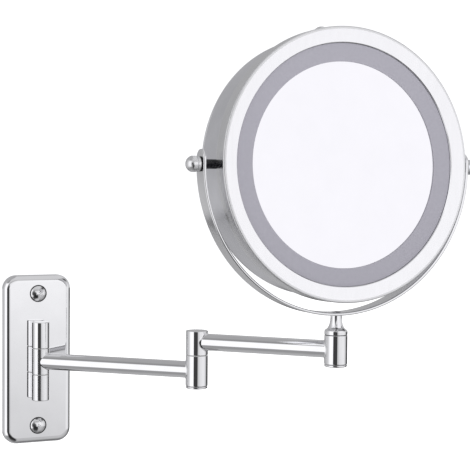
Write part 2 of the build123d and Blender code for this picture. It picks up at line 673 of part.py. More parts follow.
# Contact plates at both ends and a conical spring at each cell's flat end.
with BuildPart() as battery_contacts:
    for i in range(4):
        dx = (i - 1.5) * 14.8
        flip = 1 if i % 2 == 0 else -1
        for s in (-1, 1):
            o = PIVOT + FACE * (CELL_Z) + LAT * dx + HUP * s * 29.45
            with BuildSketch(Plane(origin=o, x_dir=LAT, z_dir=HUP * -s)):
                Rectangle(11, 11)
            extrude(amount=0.4)
            if s == -flip:
                q = o - HUP * s * 0.35
                with BuildSketch(Plane(origin=q, x_dir=LAT, z_dir=HUP * -s)):
                    Circle(4.6)
                with BuildSketch(Plane(origin=q - HUP * s * 3.95, x_dir=LAT, z_dir=HUP * -s)):
                    Circle(2.2)
                loft()
            else:
                q = o - HUP * s * 0.35
                with BuildSketch(Plane(origin=q, x_dir=LAT, z_dir=HUP * -s)):
                    Circle(2.2)
                extrude(amount=3.9)
battery_contacts.part.label = "battery_contacts"
export_step(battery_contacts.part, "parts/battery_contacts.step")

# Switch on its small board below the button.
with BuildPart() as switch_board:
    with BuildSketch(BUTTON.offset(82.6)):
        Rectangle(18, 12)
    extrude(amount=1.2)
switch_board.part.label = "switch_board"
export_step(switch_board.part, "parts/switch_board.step")

with BuildPart() as switch_body:
    with BuildSketch(BUTTON.offset(83.85)):
        Rectangle(7.2, 7.2)
    extrude(amount=4.4)
    with BuildSketch(BUTTON.offset(88.2)):
        Circle(1.7)
    extrude(amount=0.5)
switch_body.part.label = "switch_body"
export_step(switch_body.part, "parts/switch_body.step")

with BuildPart() as button_collar:
    with BuildSketch(BUTTON.offset(93)):
        Circle(BUTTON_R + 0.7)
    extrude(amount=5.5)
    fillet(button_collar.faces().sort_by(Axis(BUTTON.origin, BUP))[-1].edges(), 0.4)
    with BuildSketch(BUTTON.offset(97)):
        Circle(BUTTON_R + 0.1)
    extrude(amount=3, mode=Mode.SUBTRACT)
    with BuildSketch(BUTTON.offset(92)):
        Circle(3.3)
    extrude(amount=8, mode=Mode.SUBTRACT)
    with BuildSketch(head(-40)):
        Circle(DRUM_R + 0.03)
    extrude(amount=60, mode=Mode.SUBTRACT)
button_collar.part.label = "button_collar"
export_step(button_collar.part, "parts/button_collar.step")

# Threaded bosses inside the drum for the pivot screws.
with BuildPart() as pivot_inserts:
    for side in (-1, 1):
        with BuildSketch(Plane(origin=PIVOT + LAT * side * 90.4, x_dir=FACE, z_dir=LAT * side)):
            Circle(5.0)
            Circle(2.03, mode=Mode.SUBTRACT)
        extrude(amount=4.4)
pivot_inserts.part.label = "pivot_inserts"
export_step(pivot_inserts.part, "parts/pivot_inserts.step")

# Dark sleeves that keep the drum centred between the yoke's ends.
with BuildPart() as pivot_spacers:
    for side in (-1, 1):
        with BuildSketch(Plane(origin=PIVOT + LAT * side * 96.55, x_dir=FACE, z_dir=LAT * side)):
            Circle(3.4)
            Circle(2.05, mode=Mode.SUBTRACT)
        extrude(amount=10.95)
pivot_spacers.part.label = "pivot_spacers"
export_step(pivot_spacers.part, "parts/pivot_spacers.step")

with BuildPart() as pivot_washers:
    for side in (-1, 1):
        with BuildSketch(Plane(origin=PIVOT + LAT * side * 110.25, x_dir=FACE, z_dir=LAT * side)):
            Circle(5.3)
            Circle(2.05, mode=Mode.SUBTRACT)
        extrude(amount=0.7)
pivot_washers.part.label = "pivot_washers"
export_step(pivot_washers.part, "parts/pivot_washers.step")


def knob_section(side):
    return Plane(origin=PIVOT, x_dir=HUP, z_dir=HUP.cross(LAT * side))


with BuildPart() as left_pivot_knob:
    with BuildSketch(knob_section(-1)):
        with BuildLine():
            Polyline((0, 91.0), (2.0, 91.0), (2.0, 111.0), (5.2, 111.0), (5.45, 111.25),
                     (5.45, 112.85), (4.9, 113.0), (4.9, 113.4), (KNOB_R - 0.3, 113.5),
                     (KNOB_R, 113.8), (KNOB_R, 116.4))
            ThreePointArc((KNOB_R, 116.4), dome(KNOB_R, 116.4, 120.6), (0, 120.6))
            Line((0, 120.6), (0, 91.0))
        make_face()
    revolve(axis=Axis(PIVOT, LAT))
left_pivot_knob.part.label = "left_pivot_knob"
export_step(left_pivot_knob.part, "parts/left_pivot_knob.step")

with BuildPart() as right_pivot_knob:
    with BuildSketch(knob_section(1)):
        with BuildLine():
            Polyline((0, 91.0), (2.0, 91.0), (2.0, 111.0), (5.2, 111.0), (5.45, 111.25),
                     (5.45, 112.85), (4.9, 113.0), (4.9, 113.4), (KNOB_R - 0.3, 113.5),
                     (KNOB_R, 113.8), (KNOB_R, 116.4))
            ThreePointArc((KNOB_R, 116.4), dome(KNOB_R, 116.4, 120.6), (0, 120.6))
            Line((0, 120.6), (0, 91.0))
        make_face()
    revolve(axis=Axis(PIVOT, LAT))
right_pivot_knob.part.label = "right_pivot_knob"
export_step(right_pivot_knob.part, "parts/right_pivot_knob.step")

# Two leads from the battery tray to the switch, one on to the light board.
def lead(path_points):
    pts = [PIVOT + LAT * x + HUP * y + FACE * z for (x, y, z) in path_points]
    return pts


with BuildPart() as lead_wires:
    for (x0, x1) in ((3.0, -3.0), (6.0, -0.2)):
        p, q = lead([(x0, 31.2, -10.6), (x1, 81.8, -11.4)])
        with BuildSketch(Plane(origin=p, z_dir=q - p)):
            Circle(0.6)
        extrude(amount=(q - p).length)
    p, q = lead([(-12.0, 80.9, -9.5), (-12.0, 80.9, 0.7)])
    with BuildSketch(Plane(origin=p, z_dir=q - p)):
        Circle(0.6)
    extrude(amount=(q - p).length)
lead_wires.part.label = "lead_wires"
export_step(lead_wires.part, "parts/lead_wires.step")

# ================================================================== rear cover
# Twist-lock ring with the magnifying mirror; it comes off for the batteries.
with BuildPart() as rear_bezel:
    with BuildSketch(HEAD_SECTION):
        with BuildLine():
            Line((94.4, -20.5), (92.7, -20.5))
            Line((92.7, -20.5), (92.7, -27.2))
            Line((92.7, -27.2), (88.4, -27.2))
            Line((88.4, -27.2), (87.0, -28.6))
            Line((87.0, -28.6), (87.0, -29.0))
            Line((87.0, -29.0), (88.4, HEAD_BACK))
            Line((88.4, HEAD_BACK), (DRUM_R - 2.0, HEAD_BACK))
            ThreePointArc((DRUM_R - 2.0, HEAD_BACK), (DRUM_R - 0.6, HEAD_BACK + 0.6),
                          (DRUM_R, HEAD_BACK + 2.0))
            Line((DRUM_R, HEAD_BACK + 2.0), (DRUM_R, DRUM_BACK - 0.35))
            Line((DRUM_R, DRUM_BACK - 0.35), (94.4, DRUM_BACK - 0.35))
            Line((94.4, DRUM_BACK - 0.35), (94.4, -20.5))
        make_face()
    revolve(axis=HEAD_AXIS)
    # inward lugs in front of the chassis hooks
    with BuildSketch(head(-22.5)):
        for a in HOOK_ANGLES:
            with BuildLine():
                l1 = CenterArc((0, 0), 89.0, a - 10, 20)
                l2 = CenterArc((0, 0), 92.8, a - 10, 20)
                Line(l1 @ 0, l2 @ 0)
                Line(l1 @ 1, l2 @ 1)
            make_face()
    extrude(amount=2.0)
rear_bezel.part.label = "rear_bezel"
export_step(rear_bezel.part, "parts/rear_bezel.step")

with BuildPart() as rear_mirror:
    with BuildSketch(HEAD_SECTION):
        with BuildLine():
            ThreePointArc((88.2, -26.3), dome(88.2, -26.3, -23.2), (0, -23.2))
            Line((0, -23.2), (0, -25.5))
            ThreePointArc((0, -25.5), dome(86.8, -28.65, -25.5), (86.8, -28.65))
            Line((86.8, -28.65), (88.2, -27.25))
            Line((88.2, -27.25), (88.2, -26.3))
        make_face()
    revolve(axis=HEAD_AXIS)
rear_mirror.part.label = "rear_mirror"
export_step(rear_mirror.part, "parts/rear_mirror.step")

# ================================================================== power button
with BuildPart() as power_button:
    with BuildSketch(Plane(origin=BUTTON.origin, x_dir=BLAT, z_dir=BLAT.cross(BUP))):
        with BuildLine():
            Line((0, 90.0), (2.9, 90.0))
            Line((2.9, 90.0), (2.9, 98.3))
            Line((2.9, 98.3), (BUTTON_R, 98.3))
            Line((BUTTON_R, 98.3), (BUTTON_R, 99.6))
            ThreePointArc((BUTTON_R, 99.6), dome(BUTTON_R, 99.6, 103.2), (0, 103.2))
            Line((0, 103.2), (0, 90.0))
        make_face()
    revolve(axis=Axis(BUTTON.origin, BUP))
power_button.part.label = "power_button"
export_step(power_button.part, "parts/power_button.step")
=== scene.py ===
import json
import math
from math import sin, cos, radians, pi, sqrt

import bpy
import bmesh
from mathutils import Vector, Matrix


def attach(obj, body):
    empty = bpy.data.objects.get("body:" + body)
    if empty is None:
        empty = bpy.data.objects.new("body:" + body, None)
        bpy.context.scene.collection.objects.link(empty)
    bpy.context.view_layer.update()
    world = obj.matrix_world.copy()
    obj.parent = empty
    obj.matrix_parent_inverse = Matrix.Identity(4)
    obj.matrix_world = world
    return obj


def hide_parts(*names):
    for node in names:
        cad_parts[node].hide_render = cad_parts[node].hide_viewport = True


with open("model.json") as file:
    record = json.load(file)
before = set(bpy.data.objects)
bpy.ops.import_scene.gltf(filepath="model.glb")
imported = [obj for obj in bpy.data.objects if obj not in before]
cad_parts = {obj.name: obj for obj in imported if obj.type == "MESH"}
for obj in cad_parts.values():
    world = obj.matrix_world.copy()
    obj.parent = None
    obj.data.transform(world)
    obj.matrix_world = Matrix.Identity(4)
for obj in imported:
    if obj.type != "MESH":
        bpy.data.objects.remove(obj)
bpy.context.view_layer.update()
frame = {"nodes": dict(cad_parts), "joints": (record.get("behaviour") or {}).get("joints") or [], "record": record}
MM = 0.001
NODES = frame["nodes"]
JOINTS = {j["name"]: j for j in frame["joints"]}

# ------------------------------------------------------------------ key points
UP = Vector((0, 0, 1))
S = Vector(JOINTS["shoulder"]["pos_m"]) / MM          # shoulder hinge line
E = Vector(JOINTS["elbow"]["pos_m"]) / MM             # elbow hinge line
N = Vector(JOINTS["swivel"]["pos_m"]) / MM            # yoke's swivel line
P = Vector(JOINTS["head_tilt"]["pos_m"]) / MM         # middle of the head's pivot line
LAT = Vector(JOINTS["head_tilt"]["axis"]).normalized()
FACE = Vector(JOINTS["rear_cover_twist"]["axis"]).normalized()
HUP = FACE.cross(LAT).normalized()
if HUP.z < 0:
    HUP = -HUP
FACE0 = LAT.cross(UP).normalized()
if FACE0.dot(FACE) < 0:
    FACE0 = -FACE0
BDOWN = Vector(JOINTS["power_button_press"]["axis"]).normalized()
BUP = -BDOWN
BUTTON_Z = -10.5
BO = P + FACE * BUTTON_Z
ARM1 = Vector((E.x - S.x, E.y - S.y, 0))
ARM2 = Vector((N.x - E.x, N.y - E.y, 0))
L1, L2 = ARM1.length, ARM2.length
ARM1.normalize(); ARM2.normalize()
RISE = 22.0


# ------------------------------------------------------------------ mesh helpers
def rounded(pts, closed=False, step=14.0, support=0.06):
    """(x, y, radius) corners to a smooth polyline, with a support point close to each end of every straight run."""
    n = len(pts)
    out = []

    def add(p):
        if not out or (Vector(out[-1]) - Vector(p)).length > 1e-5:
            out.append((p[0], p[1]))

    ends = []
    for i, p in enumerate(pts):
        c = Vector(p[:2])
        r = p[2] if len(p) > 2 else 0.0
        if (not closed and i in (0, n - 1)) or r <= 0:
            ends.append((c, c, None))
            continue
        a = (Vector(pts[i - 1][:2]) - c)
        b = (Vector(pts[(i + 1) % n][:2]) - c)
        la, lb = a.length, b.length
        a.normalize(); b.normalize()
        ang = math.acos(max(-1, min(1, a.dot(b))))
        if ang > radians(179.5):
            ends.append((c, c, None))
            continue
        t = r / math.tan(ang / 2)
        t = min(t, la * 0.499, lb * 0.499)
        rr = t * math.tan(ang / 2)
        mid = (a + b).normalized()
        centre = c + mid * (rr / sin(ang / 2))
        ends.append((c + a * t, c + b * t, (centre, rr, ang)))
    for i in range(n):
        p_in, p_out, arc = ends[i]
        if arc is None:
            add(p_in)
        else:
            centre, rr, ang = arc
            v0 = p_in - centre
            v1 = p_out - centre
            a0 = math.atan2(v0.y, v0.x)
            a1 = math.atan2(v1.y, v1.x)
            d = (a1 - a0 + pi) % (2 * pi) - pi
            k = max(3, int(abs(math.degrees(d)) / step) + 1)
            for j in range(k + 1):
                t = a0 + d * j / k
                add(centre + Vector((cos(t), sin(t))) * rr)
        if i < n - 1 or closed:
            q = ends[(i + 1) % n][0]
            run = q - p_out
            if run.length > 5 * support:
                u = run.normalized()
                add(p_out + u * support)
                add(q - u * support)
    if closed and (Vector(out[0]) - Vector(out[-1])).length < 1e-5:
        out.pop()
    return out


def new_object(name, bm, smooth=32.0):
    me = bpy.data.meshes.new(name)
    bmesh.ops.recalc_face_normals(bm, faces=bm.faces)
    bm.to_mesh(me)
    bm.free()
    for p in me.polygons:
        p.use_smooth = True
    me.set_sharp_from_angle(angle=radians(smooth))
    ob = bpy.data.objects.new(name, me)
    bpy.context.scene.collection.objects.link(ob)
    return ob


def lathe(name, prof, origin, axis, closed=False, seg=192, smooth=32.0):
    """A profile of (radius, height) in mm turned about an axis through origin."""
    a = axis.normalized()
    ref = Vector((1, 0, 0)) if abs(a.x) < 0.9 else Vector((0, 1, 0))
    u = (ref - a * ref.dot(a)).normalized()
    v = a.cross(u)
    bm = bmesh.new()
    rings = []
    for r, h in prof:
        c = origin + a * h
        if r < 1e-6:
            rings.append([bm.verts.new(c * MM)])
        else:
            rings.append([bm.verts.new((c + u * (r * cos(2 * pi * k / seg)) + v * (r * sin(2 * pi * k / seg))) * MM)
                          for k in range(seg)])
    m = len(rings)
    for i in range(m if closed else m - 1):
        A, B = rings[i], rings[(i + 1) % m]
        if len(A) == 1 and len(B) == 1:
            continue
        for k in range(seg):
            k2 = (k + 1) % seg
            if len(A) == 1:
                bm.faces.new((A[0], B[k], B[k2]))
            elif len(B) == 1:
                bm.faces.new((A[k], B[0], A[k2]))
            else:
                bm.faces.new((A[k], B[k], B[k2], A[k2]))
    return new_object(name, bm, smooth)


def coped_tube(name, p0, p1, r, bore, r0, r1, seg=160, gap=0.03, f0=0.4, f1=0.9):
    """Round tube between two upright barrels, its ends cut to the barrels' curves and flared by a small fillet."""
    a = (p1 - p0)
    L = a.length
    a.normalize()
    side = a.cross(UP).normalized()
    bm = bmesh.new()
    loops = []

    def ring(rad, f):
        vs = []
        for k in range(seg):
            t = 2 * pi * k / seg
            y, z = cos(t), sin(t)
            vs.append(bm.verts.new((p0 + a * f(rad * y) + side * (rad * y) + UP * (rad * z)) * MM))
        return vs

    def start(off):
        return lambda y: sqrt(max(0.0, r0 * r0 - y * y)) + off

    def end(off):
        return lambda y: L - sqrt(max(0.0, r1 * r1 - y * y)) - off

    n = 6
    loops.append(ring(bore, start(gap)))
    for k in range(n + 1):
        t = pi / 2 * k / n
        loops.append(ring(r + f0 * (1 - sin(t)), start(gap + f0 * (1 - cos(t)))))
    loops.append(ring(r, start(gap + f0 + 0.1)))
    for t in (0.25, 0.5, 0.75):
        loops.append(ring(r, lambda y, t=t: L * t))
    loops.append(ring(r, end(gap + f1 + 0.1)))
    for k in range(n, -1, -1):
        t = pi / 2 * k / n
        loops.append(ring(r + f1 * (1 - sin(t)), end(gap + f1 * (1 - cos(t)))))
    loops.append(ring(bore, end(gap)))
    m = len(loops)
    for i in range(m):
        A, B = loops[i], loops[(i + 1) % m]
        for k in range(seg):
            k2 = (k + 1) % seg
            bm.faces.new((A[k], B[k], B[k2], A[k2]))
    return new_object(name, bm, 40)


def piece(ob, body, mat, nodes=()):
    ob.data.materials.clear()
    ob.data.materials.append(mat)
    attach(ob, body)
    if nodes:
        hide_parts(*nodes)
    return ob


# ------------------------------------------------------------------ materials
def shader(name):
    m = bpy.data.materials.new(name)
    m.use_nodes = True
    nt = m.node_tree
    nt.nodes.clear()
    out = nt.nodes.new("ShaderNodeOutputMaterial")
    b = nt.nodes.new("ShaderNodeBsdfPrincipled")
    nt.links.new(b.outputs[0], out.inputs[0])
    tc = nt.nodes.new("ShaderNodeTexCoord")
    return m, nt, b, tc


def noise(nt, tc, scale, detail=3.0, rough=0.5, stretch=None):
    n = nt.nodes.new("ShaderNodeTexNoise")
    n.inputs["Scale"].default_value = scale
    n.inputs["Detail"].default_value = detail
    n.inputs["Roughness"].default_value = rough
    if stretch:
        mp = nt.nodes.new("ShaderNodeMapping")
        mp.inputs["Scale"].default_value = stretch
        nt.links.new(tc.outputs["Object"], mp.inputs["Vector"])
        nt.links.new(mp.outputs[0], n.inputs["Vector"])
    else:
        nt.links.new(tc.outputs["Object"], n.inputs["Vector"])
    return n


def ramp(nt, src, stops):
    r = nt.nodes.new("ShaderNodeValToRGB")
    el = r.color_ramp.elements
    while len(el) > 1:
        el.remove(el[-1])
    el[0].position = stops[0][0]
    el[0].color = stops[0][1]
    for pos, col in stops[1:]:
        e = el.new(pos)
        e.color = col
    nt.links.new(src, r.inputs[0])
    return r


def rng(nt, src, lo, hi, a=0.3, b=0.7):
    m = nt.nodes.new("ShaderNodeMapRange")
    m.inputs["From Min"].default_value = a
    m.inputs["From Max"].default_value = b
    m.inputs["To Min"].default_value = lo
    m.inputs["To Max"].default_value = hi
    nt.links.new(src, m.inputs["Value"])
    return m


def bump(nt, b, src, strength, distance):
    n = nt.nodes.new("ShaderNodeBump")
    n.inputs["Strength"].default_value = strength
    n.inputs["Distance"].default_value = distance
    nt.links.new(src, n.inputs["Height"])
    nt.links.new(n.outputs[0], b.inputs["Normal"])
    return n


def grey(v, tint=(1, 1, 1)):
    return (v * tint[0], v * tint[1], v * tint[2], 1)


def make_chrome(name, lo=0.90, hi=0.95, r0=0.018, r1=0.05, tint=(1.0, 1.0, 1.01), wave=0.012):
    m, nt, b, tc = shader(name)
    b.inputs["Metallic"].default_value = 1.0
    soft = noise(nt, tc, 60, 4)
    col = ramp(nt, soft.outputs["Fac"], [(0.3, grey(lo, tint)), (0.7, grey(hi, tint))])
    nt.links.new(col.outputs[0], b.inputs["Base Color"])
    fine = noise(nt, tc, 900, 5, 0.6)
    rr = rng(nt, fine.outputs["Fac"], r0, r1)
    nt.links.new(rr.outputs[0], b.inputs["Roughness"])
    bump(nt, b, soft.outputs["Fac"], wave, 0.0004)
    return m


def make_satin(name, lo, hi, r0, r1, stretch):
    """Fine drawn grain."""
    m, nt, b, tc = shader(name)
    b.inputs["Metallic"].default_value = 1.0
    g = noise(nt, tc, 300, 5, 0.6, stretch)
    col = ramp(nt, g.outputs["Fac"], [(0.25, grey(lo, (1, 1, 1.01))), (0.75, grey(hi, (1, 1, 1.01)))])
    nt.links.new(col.outputs[0], b.inputs["Base Color"])
    rr = rng(nt, g.outputs["Fac"], r0, r1)
    nt.links.new(rr.outputs[0], b.inputs["Roughness"])
    bump(nt, b, g.outputs["Fac"], 0.05, 0.0002)
    return m


def make_plastic(name, c0, c1, r0, r1, scale=220, bumpy=0.15, metallic=0.0, coat=0.0, spec=0.5, dist=0.0003):
    m, nt, b, tc = shader(name)
    b.inputs["Metallic"].default_value = metallic
    b.inputs["Coat Weight"].default_value = coat
    b.inputs["Specular IOR Level"].default_value = spec
    n = noise(nt, tc, scale, 5, 0.6)
    col = ramp(nt, n.outputs["Fac"], [(0.3, (*c0, 1)), (0.7, (*c1, 1))])
    nt.links.new(col.outputs[0], b.inputs["Base Color"])
    rr = rng(nt, n.outputs["Fac"], r0, r1)
    nt.links.new(rr.outputs[0], b.inputs["Roughness"])
    bump(nt, b, n.outputs["Fac"], bumpy, dist)
    return m


CHROME = make_chrome("polished_chrome")
CHROME_PLATE = make_chrome("plate_chrome", 0.91, 0.95, 0.02, 0.05, wave=0.008)
CHROME_DRUM = make_chrome("drum_chrome", 0.86, 0.93, 0.14, 0.20, (0.98, 0.98, 1.02), wave=0.02)
CHROME_STRIP = make_chrome("yoke_chrome", 0.88, 0.93, 0.14, 0.20, wave=0.01)
CHROME_SOFT = make_chrome("polished_chrome_soft", 0.90, 0.94, 0.12, 0.18, wave=0.01)
RING = make_satin("ring_satin", 0.91, 0.95, 0.10, 0.16, (1.0, 1.0, 0.12))
RING_SIDE = make_chrome("ring_side_chrome", 0.86, 0.92, 0.15, 0.21, wave=0.01)
RING_CORNER = make_satin("ring_corner_satin", 0.86, 0.91, 0.42, 0.50, (1.0, 1.0, 1.0))
KNOB = make_chrome("knob_chrome", 0.88, 0.94, 0.24, 0.30, wave=0.01)
FROST = make_plastic("frosted_light_ring", (0.362, 0.353, 0.402), (0.386, 0.377, 0.426), 0.34, 0.46, 420, 0.08, coat=0.1)
MIRROR = make_chrome("silvered_glass", 0.965, 0.98, 0.0, 0.004, (0.998, 0.992, 1.018), wave=0.0)
STEEL = make_satin("plain_steel", 0.52, 0.66, 0.22, 0.34, (1.0, 1.0, 1.0))
BLACK_GLOSS = make_plastic("glossy_black", (0.006, 0.006, 0.008), (0.014, 0.014, 0.017), 0.10, 0.2, 500, 0.05)
BLACK_RUBBER = make_plastic("black_rubber", (0.012, 0.012, 0.013), (0.03, 0.03, 0.032), 0.5, 0.65, 700, 0.3)
NYLON = make_plastic("nylon", (0.42, 0.42, 0.41), (0.50, 0.50, 0.48), 0.45, 0.55, 500, 0.1)
WHITE = make_plastic("white_moulding", (0.72, 0.72, 0.72), (0.80, 0.80, 0.80), 0.4, 0.5, 400, 0.1)
BLACK = make_plastic("black_moulding", (0.015, 0.015, 0.016), (0.03, 0.03, 0.032), 0.45, 0.6, 500, 0.25)
BRASS = make_satin("turned_brass", 0.5, 0.62, 0.18, 0.28, (1, 1, 1))
for n_ in BRASS.node_tree.nodes:
    if n_.type == "VALTORGB":
        n_.color_ramp.elements[0].color = (0.55, 0.38, 0.14, 1)
        n_.color_ramp.elements[1].color = (0.70, 0.50, 0.22, 1)
BOARD = make_plastic("solder_mask", (0.74, 0.74, 0.70), (0.82, 0.82, 0.78), 0.3, 0.4, 600, 0.05)
CELL = make_plastic("cell_wrap", (0.03, 0.09, 0.07), (0.04, 0.12, 0.09), 0.2, 0.3, 200, 0.05, metallic=0.4)
WIRE = make_plastic("lead_insulation", (0.30, 0.01, 0.01), (0.40, 0.02, 0.015), 0.35, 0.45, 800, 0.05)

BY_SLOT = {"chrome": CHROME, "satin_ring": RING, "frosted": FROST, "mirror": MIRROR, "steel": STEEL,
           "black_gloss": BLACK_GLOSS, "nylon": NYLON, "white_plastic": WHITE, "black_plastic": BLACK,
           "brass": BRASS, "board": BOARD, "cell": CELL, "wire": WIRE, "black_rubber": BLACK_RUBBER}
for sp in frame["record"]["subparts"]:
    o = NODES[sp["node"]]
    o.data.materials.clear()
    o.data.materials.append(BY_SLOT[sp["material_slot"]])

# ------------------------------------------------------------------ wall bracket
PW, PH, PD, PC, PR, PT = 27.5, 68.0, 9.0, 11.0, 5.0, 1.5


def rr_loop(w, h, c, y, n=14):
    """Rounded rectangle in the wall's plane, half sizes w and h, at depth y."""
    pts = []
    for cx, cz, a0 in ((w - c, h - c, 0), (-w + c, h - c, 90), (-w + c, -h + c, 180), (w - c, -h + c, 270)):
        for k in range(n + 1):
            t = radians(a0 + 90 * k / n)
            pts.append(Vector((cx + c * cos(t), y, cz + c * sin(t))))
    return pts


def plate():
    bm = bmesh.new()
    loops = []

    def loop(pts):
        loops.append([bm.verts.new(p * MM) for p in pts])

    # inside of the cover, its rim, the outer wall, the rounded edge
    loop(rr_loop(PW - PT, PH - PT, PC - PT, -PD + PT + 2.5))
    loop(rr_loop(PW - PT, PH - PT, PC - PT, -0.25))
    loop(rr_loop(PW - PT + 0.1, PH - PT + 0.1, PC - PT + 0.1, -0.02))
    loop(rr_loop(PW - 0.25, PH - 0.25, PC - 0.25, 0.0))
    loop(rr_loop(PW - 0.07, PH - 0.07, PC - 0.07, -0.07))
    loop(rr_loop(PW, PH, PC, -0.25))
    loop(rr_loop(PW, PH, PC, -0.32))
    loop(rr_loop(PW, PH, PC, -PD + PR + 0.06))
    for k in range(0, 13):
        t = radians(90 * k / 12)
        i = PR * (1 - cos(t))
        loop(rr_loop(PW - i, PH - i, PC - i, -PD + PR - PR * sin(t)))
    loop(rr_loop(PW - PR - 0.08, PH - PR - 0.08, PC - PR - 0.08, -PD))
    for A, B in zip(loops[:-1], loops[1:]):
        m = len(A)
        for k in range(m):
            bm.faces.new((A[k], B[k], B[(k + 1) % m], A[(k + 1) % m]))
    inner = loops[0]
    bm.faces.new(inner)
    # flat front with two seats for the screws
    edges = []
    last = loops[-1]
    m = len(last)
    for k in range(m):
        edges.append(bm.edges.get((last[k], last[(k + 1) % m])))
    for z in (53.5, -53.5):
        rim = []
        for r, y in ((6.98, -PD), (6.92, -PD), (6.87, -PD + 0.05), (6.85, -PD + 0.12), (6.85, -PD + 0.55)):
            rim.append([bm.verts.new(Vector((r * cos(2 * pi * k / 64), y, z + r * sin(2 * pi * k / 64))) * MM)
                        for k in range(64)])
        for A, B in zip(rim[:-1], rim[1:]):
            for k in range(64):
                bm.faces.new((A[k], B[k], B[(k + 1) % 64], A[(k + 1) % 64]))
        bm.faces.new(rim[-1])
        for k in range(64):
            edges.append(bm.edges.get((rim[0][k], rim[0][(k + 1) % 64])))
    bmesh.ops.triangle_fill(bm, use_beauty=True, use_dissolve=False, edges=edges)
    return new_object("wall_plate_shell", bm, 50)


piece(plate(), "wall_bracket", CHROME_PLATE, ["wall_plate"])

KR = 7.0


def knuckle(name, z0, z1, top_r, bottom_r, hollow=None):
    o = Vector((S.x, S.y, 0))
    prof = [(0, z0), (KR, z0, bottom_r), (KR, z1, top_r), (0, z1)]
    if hollow:
        prof = [(0, z0 + hollow[1]), (hollow[0], z0 + hollow[1]), (hollow[0], z0, 0.12), (KR, z0, bottom_r),
                (KR, z1, top_r), (0, z1)]
    return lathe(name, rounded(prof), o, UP, seg=160)


def post(name, z):
    o = Vector((S.x, 0, z))
    return lathe(name, rounded([(0, 8.95), (4.35, 8.95), (4.35, 9.25, 0.2), (4.0, 9.6, 0.3), (4.0, 12.5)]), o,
                 Vector((0, -1, 0)), seg=96)


def merge(name, obs):
    """Joins meshes into one object."""
    bm = bmesh.new()
    for o in obs:
        bm.from_mesh(o.data)
    me = bpy.data.meshes.new(name)
    bm.to_mesh(me)
    bm.free()
    ob = bpy.data.objects.new(name, me)
    bpy.context.scene.collection.objects.link(ob)
    for o in obs:
        old = o.data
        bpy.data.objects.remove(o)
        bpy.data.meshes.remove(old)
    return ob


piece(merge("upper_knuckle_turned", [knuckle("k1", 10.7, 31.5, 0.6, 0.2), post("p1", 21.0)]),
      "wall_bracket", CHROME, ["upper_knuckle"])
piece(merge("lower_knuckle_turned", [knuckle("k2", -31.5, -10.7, 0.2, 0.6, (5.1, 2.45)), post("p2", -21.0)]),
      "wall_bracket", CHROME_SOFT, ["lower_knuckle"])

# domed screws with a cross recess, whole down to the point
def screw(z):
    o = Vector((0, 0, z))
    y0 = PD - 0.58
    pts = [(0, -26.0), (2.2, -22.05), (2.25, -21.9), (2.25, -0.75), (2.1, -0.6), (2.1, y0)]
    HR = 6.0
    pts += rounded([(2.1, y0), (HR, y0, 0.12), (HR, y0 + 0.7)])[1:]
    R = (HR ** 2 + 2.2 ** 2) / (2 * 2.2)
    for k in range(17):
        a = math.asin(HR / R) * (1 - k / 16)
        pts.append((R * sin(a), y0 + 0.7 + 2.2 - R + R * cos(a)))
    pts[-1] = (0, pts[-1][1])
    ob = lathe("screw_head", pts, o, Vector((0, -1, 0)), seg=96)
    # cross recess pressed into the dome
    cut = bmesh.new()
    for w, h in ((3.0, 0.8), (0.8, 3.0)):
        mat = Matrix.Translation(Vector((0, -(PD + 1.3 + 3), z)) * MM) @ Matrix.Diagonal((w * MM, 6 * MM, h * MM, 1))
        bmesh.ops.create_cube(cut, size=1, matrix=mat)
    cm = bpy.data.meshes.new("cut")
    cut.to_mesh(cm)
    cut.free()
    co = bpy.data.objects.new("cut", cm)
    bpy.context.scene.collection.objects.link(co)
    md = ob.modifiers.new("cross", "BOOLEAN")
    md.operation = "DIFFERENCE"
    md.object = co
    md.solver = "EXACT"
    md.use_self = True
    dg = bpy.context.evaluated_depsgraph_get()
    ev = ob.evaluated_get(dg)
    nm = bpy.data.meshes.new_from_object(ev)
    ob.modifiers.clear()
    ob.data = nm
    bpy.data.objects.remove(co)
    bpy.data.meshes.remove(cm)
    for p in nm.polygons:
        p.use_smooth = True
    nm.set_sharp_from_angle(angle=radians(28))
    return ob


piece(merge("wall_screws_domed", [screw(53.5), screw(-53.5)]), "wall_bracket", CHROME_SOFT, ["wall_screws"])
# black rings filling the screw seats round each head: painted shade, a dark ring standing in for the shade in the
# recess round the screw heads
seats = [lathe("seat%d" % z, rounded([(6.05, 8.47), (6.82, 8.47), (6.82, 9.06, 0.08), (6.05, 9.06, 0.08)], closed=True),
               Vector((0, 0, z)), Vector((0, -1, 0)), closed=True, seg=96) for z in (53.5, -53.5)]
piece(merge("screw_seat_painted_shade", seats), "wall_bracket", BLACK_RUBBER)

# ------------------------------------------------------------------ arms
piece(lathe("arm_1_knuckle_turned", rounded([(0, -10.3), (KR, -10.3, 0.2), (KR, 10.3, 0.2), (0, 10.3)]),
            Vector((S.x, S.y, 0)), UP, seg=160), "arm_1", CHROME_SOFT, ["arm_1_knuckle"])
piece(coped_tube("arm_1_drawn_tube", Vector((S.x, S.y, 0)), Vector((E.x, E.y, 0)), 6.5, 5.3, KR, 8.5),
      "arm_1", CHROME, ["arm_1_tube"])
BR = 8.5
EO = Vector((E.x, E.y, 0))
NO = Vector((N.x, N.y, 0))
piece(lathe("elbow_lower_turned", rounded([(0, -11.9), (BR, -12.1, 0.6), (BR, 11.6, 0.35), (0, 11.6)]), EO, UP, seg=176),
      "arm_1", CHROME, ["elbow_lower_barrel"])
piece(lathe("elbow_cap_turned", rounded([(0, -14.0), (8.35, -14.0, 1.0), (8.35, -12.3, 0.3), (0, -12.3)]), EO, UP, seg=176),
      "arm_1", CHROME, ["elbow_cap"])
piece(lathe("elbow_upper_turned", rounded([(0, 12.0), (BR, 12.0, 0.35), (BR, 30.5, 0.35), (0, 30.5)]), EO, UP, seg=176),
      "arm_2", CHROME, ["elbow_upper_barrel"])
